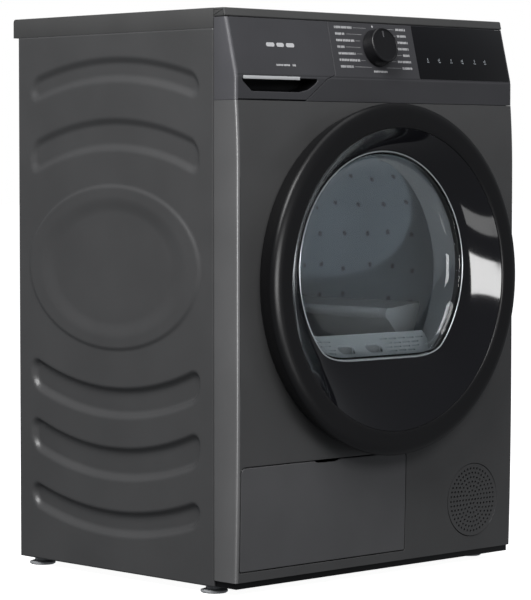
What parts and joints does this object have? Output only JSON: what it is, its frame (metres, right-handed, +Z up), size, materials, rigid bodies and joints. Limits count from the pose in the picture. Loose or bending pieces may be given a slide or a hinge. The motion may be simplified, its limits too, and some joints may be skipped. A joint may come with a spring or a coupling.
{
  "type": "clothes dryer",
  "caption": "Front-loading heat-pump clothes dryer with a round glass door, rotary dial, condensate drawer and lower service flap.",
  "frame": {"origin": "centre of the footprint on the floor, at the bottoms of the feet", "axes": "+X to the right seen from the front, +Y to the back, +Z up; the door faces -Y"},
  "size_m": [0.597, 0.5526, 0.85],
  "materials": {
    "painted_steel": "satin powder coat in dark grey",
    "fascia_plastic": "fine satin moulded plastic in dark grey",
    "worktop_laminate": "satin laminate in dark grey",
    "black_plastic": "satin black moulded plastic",
    "gloss_black": "high gloss black",
    "dial_finish": "satin black with a fine turned face",
    "clear_glass": "clear pressed glass",
    "galvanised_steel": "galvanised sheet with a soft spangle",
    "stainless_steel": "brushed stainless steel",
    "bright_steel": "bright plated steel",
    "pale_plastic": "light grey moulded plastic",
    "tank_plastic": "translucent natural plastic",
    "rubber_black": "matt black rubber",
    "idler_plastic": "nylon",
    "motor_paint": "painted pressed steel",
    "compressor_paint": "black stoved enamel",
    "fin_aluminium": "thin bare fins",
    "trim_aluminium": "satin anodised",
    "copper_pipe": "bare copper tube",
    "board_green": "lacquered circuit board",
    "foot_finish": "grey nylon hex over a black pad"
  },
  "bodies": {
    "cabinet": {"base_pan": "black_plastic", "side_panel_left": "painted_steel", "side_panel_right": "painted_steel", "rear_panel": "galvanised_steel", "rear_cover": "galvanised_steel", "worktop": "worktop_laminate", "worktop_trim": "worktop_laminate", "front_panel": "painted_steel", "front_bulkhead": "galvanised_steel", "rear_bulkhead": "galvanised_steel", "loading_ring": "pale_plastic", "door_seal": "rubber_black", "rear_bearing": "bright_steel", "drive_belt": "rubber_black", "drive_motor": "motor_paint", "blower_housing": "black_plastic", "compressor": "compressor_paint", "evaporator": "fin_aluminium", "condenser_coil": "fin_aluminium", "refrigerant_pipes": "copper_pipe", "exchanger_housing": "black_plastic", "condensate_pump": "black_plastic", "pump_hose": "rubber_black", "mains_gland": "black_plastic", "control_fascia": "fascia_plastic", "display_window": "gloss_black", "control_board": "board_green", "dial_encoder": "black_plastic", "tank_housing": "black_plastic", "vent_grille": "fascia_plastic", "hinge_bracket": "galvanised_steel", "latch_plate": "galvanised_steel", "panel_screws": "bright_steel"},
    "door": {"door_ring": "black_plastic", "door_dish": "gloss_black", "door_glass": "clear_glass", "door_inner_frame": "black_plastic", "door_hinge": "bright_steel", "door_catch": "bright_steel"},
    "drum": {"drum_shell": "stainless_steel", "drum_back": "stainless_steel", "drum_lifters": "pale_plastic", "drum_shaft": "bright_steel"},
    "rotor": {"rotor_shaft": "bright_steel", "blower_wheel": "black_plastic"},
    "tensioner": {"idler_arm": "galvanised_steel"},
    "idler": {"idler_pulley": "idler_plastic"},
    "roller_left": {"roller_left": "rubber_black"},
    "roller_right": {"roller_right": "rubber_black"},
    "dial": {"dial_knob": "dial_finish"},
    "drawer": {"drawer_front": "fascia_plastic", "water_tank": "tank_plastic", "drawer_trim": "trim_aluminium"},
    "flap": {"service_flap": "fascia_plastic"},
    "exchanger_filter": {"exchanger_filter": "pale_plastic"},
    "lint_filter": {"lint_filter": "pale_plastic"},
    "foot_front_left": {"foot_front_left": "foot_finish"},
    "foot_front_right": {"foot_front_right": "foot_finish"},
    "foot_rear_left": {"foot_rear_left": "foot_finish"},
    "foot_rear_right": {"foot_rear_right": "foot_finish"}
  },
  "joints": [
    {"name": "door_hinge", "type": "hinge", "parent": "cabinet", "child": "door", "pos_m": [0.268, -0.25425, 0.4525], "axis": [0, 0, 1], "range_deg": [0, 140]},
    {"name": "drum_spin", "type": "hinge", "parent": "cabinet", "child": "drum", "pos_m": [0, 0.03575, 0.46], "axis": [0, 1, 0], "continuous": true},
    {"name": "rotor_spin", "type": "hinge", "parent": "cabinet", "child": "rotor", "pos_m": [0.215, -0.00825, 0.105], "axis": [0, 1, 0], "continuous": true},
    {"name": "tensioner_pivot", "type": "hinge", "parent": "cabinet", "child": "tensioner", "pos_m": [0.16577, -0.02025, 0.06318], "axis": [0, -1, 0], "range_deg": [0, 12], "stiffness_Nm_per_rad": 2, "springref_deg": -20.05},
    {"name": "idler_spin", "type": "hinge", "parent": "tensioner", "child": "idler", "pos_m": [0.13987, -0.00825, 0.10594], "axis": [0, 1, 0], "continuous": true},
    {"name": "roller_left_spin", "type": "hinge", "parent": "cabinet", "child": "roller_left", "pos_m": [-0.16536, -0.15825, 0.22384], "axis": [0, 1, 0], "continuous": true},
    {"name": "roller_right_spin", "type": "hinge", "parent": "cabinet", "child": "roller_right", "pos_m": [0.16536, -0.15825, 0.22384], "axis": [0, 1, 0], "continuous": true},
    {"name": "dial_turn", "type": "hinge", "parent": "cabinet", "child": "dial", "pos_m": [0.002, -0.21813, 0.799], "axis": [0, -0.9696, 0.2449], "continuous": true},
    {"name": "drawer_slide", "type": "slide", "parent": "cabinet", "child": "drawer", "axis": [0, -1, 0], "range_m": [0, 0.38]},
    {"name": "flap_hinge", "type": "hinge", "parent": "cabinet", "child": "flap", "pos_m": [0, -0.22325, 0.044], "axis": [1, 0, 0], "range_deg": [0, 90]},
    {"name": "exchanger_filter_slide", "type": "slide", "parent": "cabinet", "child": "exchanger_filter", "axis": [0, -1, 0], "range_m": [0, 0.028]},
    {"name": "lint_filter_lift", "type": "slide", "parent": "cabinet", "child": "lint_filter", "axis": [0, 0, 1], "range_m": [0, 0.14]},
    {"name": "foot_front_left_screw", "type": "slide", "parent": "cabinet", "child": "foot_front_left", "axis": [0, 0, -1], "range_m": [0, 0.012]},
    {"name": "foot_front_right_screw", "type": "slide", "parent": "cabinet", "child": "foot_front_right", "axis": [0, 0, -1], "range_m": [0, 0.012]},
    {"name": "foot_rear_left_screw", "type": "slide", "parent": "cabinet", "child": "foot_rear_left", "axis": [0, 0, -1], "range_m": [0, 0.012]},
    {"name": "foot_rear_right_screw", "type": "slide", "parent": "cabinet", "child": "foot_rear_right", "axis": [0, 0, -1], "range_m": [0, 0.012]}
  ],
  "couplings": [
    {"joint": "rotor_spin", "follows": "drum_spin", "ratio": 26.34},
    {"joint": "idler_spin", "follows": "drum_spin", "ratio": -18.972},
    {"joint": "roller_left_spin", "follows": "drum_spin", "ratio": -15},
    {"joint": "roller_right_spin", "follows": "drum_spin", "ratio": -15}
  ]
}
